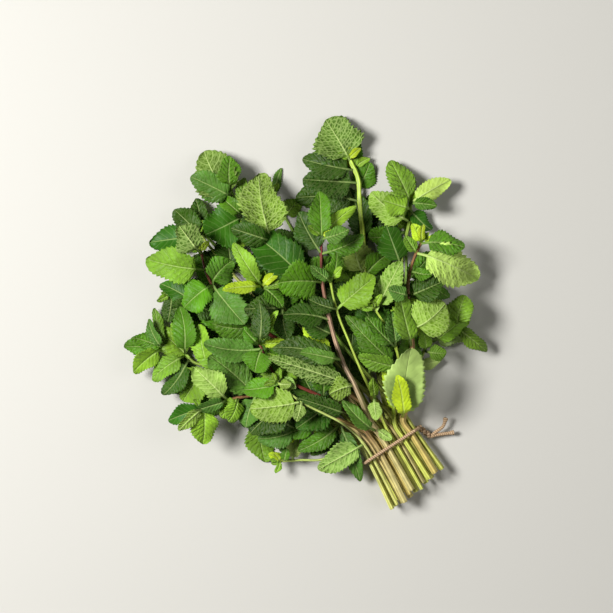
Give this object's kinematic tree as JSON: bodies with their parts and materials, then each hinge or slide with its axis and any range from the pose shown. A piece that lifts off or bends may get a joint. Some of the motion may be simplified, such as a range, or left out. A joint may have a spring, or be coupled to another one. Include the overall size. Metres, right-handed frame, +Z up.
{
  "type": "tied bunch of mint",
  "caption": "Tied bunch of fresh mint lying on its side, with leafy square-stemmed sprigs held near their cut ends by a twisted wire tie.",
  "frame": {"origin": "on the surface that the bunch lies on, under the middle of its bounding box", "axes": "+Z up, +Y from the cut ends towards the leaf tips, +X to the right as seen from above with the leaves at the top"},
  "size_m": [0.233, 0.254, 0.0555],
  "materials": {
    "leaf": "fresh leaf, satin, quilted between its veins",
    "stem": "fresh green stem, tan and red in places, satin",
    "tie": "matt brown paper over thin wire"
  },
  "bodies": {
    "root": {"sprig_01": "leaf", "sprig_02": "leaf", "sprig_03": "leaf", "sprig_04": "leaf", "sprig_05": "leaf", "sprig_06": "leaf", "sprig_07": "leaf", "sprig_08": "leaf", "sprig_09": "leaf", "sprig_10": "leaf", "sprig_11": "leaf", "sprig_12": "leaf", "sprig_13": "leaf", "sprig_14": "leaf", "sprig_15": "leaf", "sprig_16": "leaf", "sprig_17": "leaf", "sprig_18": "leaf", "sprig_19": "leaf", "sprig_20": "leaf", "sprig_21": "leaf", "sprig_22": "leaf", "sprig_23": "leaf", "sprig_24": "leaf", "sprig_25": "leaf", "sprig_26": "leaf", "tie": "tie"}
  },
  "joints": []
}
